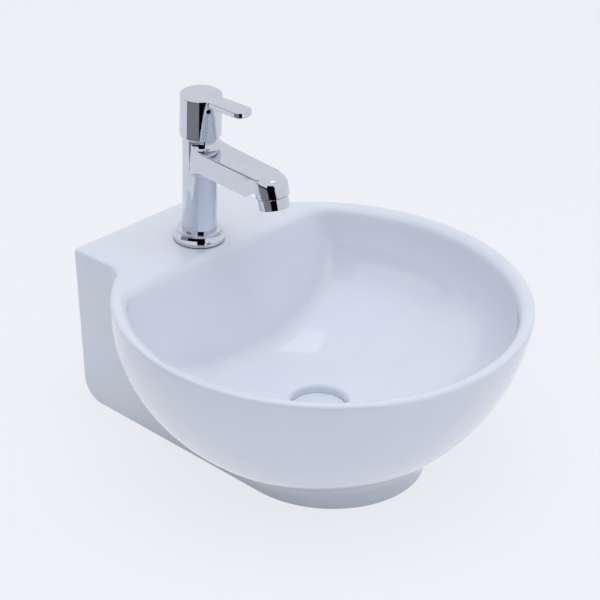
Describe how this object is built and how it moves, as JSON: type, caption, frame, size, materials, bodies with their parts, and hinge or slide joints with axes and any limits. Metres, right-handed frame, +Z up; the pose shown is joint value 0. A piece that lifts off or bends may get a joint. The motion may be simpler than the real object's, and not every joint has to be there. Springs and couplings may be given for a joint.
{
  "type": "wall-hung round basin",
  "caption": "Compact round ceramic basin with a flat-sided block at the wall, a round foot, a single-lever pillar tap and a push waste.",
  "frame": {"origin": "middle of the two wall fixing holes, on the wall face of the basin", "axes": "+X along the wall, to the right as one faces it; -Y out of the wall, towards the user; +Z up"},
  "size_m": [0.3998, 0.4306, 0.3265],
  "materials": {
    "white_glaze": "glossy white glaze over vitreous china",
    "white_enamel": "glossy white enamel",
    "chrome": "polished chrome plate",
    "raw_brass": "machined brass",
    "steel": "stainless steel",
    "white_ceramic": "lapped ceramic",
    "black_rubber": "matt black rubber",
    "grey_plastic": "light grey moulded plastic"
  },
  "bodies": {
    "basin": {"basin_body": "white_glaze", "tap_body": "chrome", "tap_base_gasket": "black_rubber", "tap_base_ring": "chrome", "inlet_shank": "raw_brass", "shank_rubber_washer": "black_rubber", "shank_clamp_washer": "steel", "shank_backnut": "raw_brass", "valve_body": "raw_brass", "valve_seal": "black_rubber", "fixed_ceramic_disc": "white_ceramic", "aerator_housing": "chrome", "aerator_washer": "black_rubber", "aerator_insert": "grey_plastic", "aerator_screen": "steel", "waste_flange_seal": "black_rubber", "waste_flange": "white_enamel", "waste_body": "grey_plastic", "click_housing": "grey_plastic", "click_spring": "steel", "waste_cone_washer": "black_rubber", "waste_slip_washer": "grey_plastic", "waste_backnut": "grey_plastic"},
    "tap_handle": {"handle": "chrome", "handle_grub_screw": "steel", "valve_spindle": "raw_brass", "moving_ceramic_disc": "white_ceramic", "spindle_o_rings": "black_rubber"},
    "waste_plug": {"waste_cap": "white_enamel", "plug_seal": "black_rubber", "plug_stem": "grey_plastic"}
  },
  "joints": [
    {"name": "handle_turn", "type": "hinge", "parent": "basin", "child": "tap_handle", "pos_m": [0, -0.065, 0.19], "axis": [0, 0, 1], "range_deg": [0, 90]},
    {"name": "waste_pop", "type": "slide", "parent": "basin", "child": "waste_plug", "axis": [0, 0, 1], "range_m": [0, 0.008], "deforming": ["click_spring"]}
  ]
}
